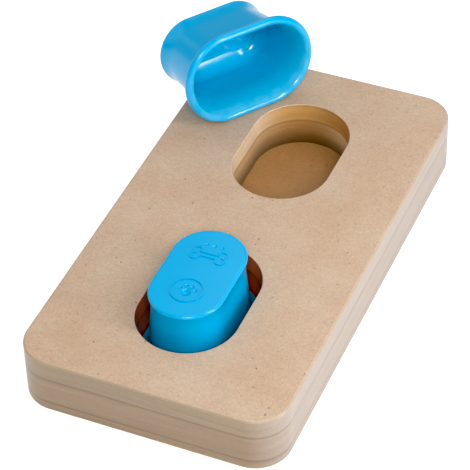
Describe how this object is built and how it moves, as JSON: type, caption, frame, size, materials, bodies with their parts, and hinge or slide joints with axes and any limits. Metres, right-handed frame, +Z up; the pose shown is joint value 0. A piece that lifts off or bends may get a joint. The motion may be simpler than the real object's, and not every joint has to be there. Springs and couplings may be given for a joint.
{
  "type": "dog puzzle feeder toy",
  "caption": "Laminated wood-fibre board with stadium-shaped treat pockets and flared plastic cups that stand upside down over them and lift off.",
  "frame": {"origin": "middle of the board's flat underside, between its four feet", "axes": "+X across the board to the right, +Y along the board away from the seated cup, +Z up"},
  "size_m": [0.1342, 0.2303, 0.0739],
  "materials": {
    "fibreboard": "sanded, bare",
    "cup_plastic": "moulded, satin",
    "foot_rubber": "matt"
  },
  "bodies": {
    "board": {"top_board": "fibreboard", "middle_board": "fibreboard", "base_board": "fibreboard", "foot_1": "foot_rubber", "foot_2": "foot_rubber", "foot_3": "foot_rubber", "foot_4": "foot_rubber"},
    "front_cup": {"front_cup": "cup_plastic"},
    "rear_cup": {"rear_cup": "cup_plastic"}
  },
  "joints": [
    {"name": "front_cup_lift", "type": "slide", "parent": "board", "child": "front_cup", "axis": [0, 0, 1], "range_m": [0, 0.06]},
    {"name": "rear_cup_lift", "type": "slide", "parent": "board", "child": "rear_cup", "axis": [0, 0, 1], "range_m": [0, 0.06]}
  ]
}
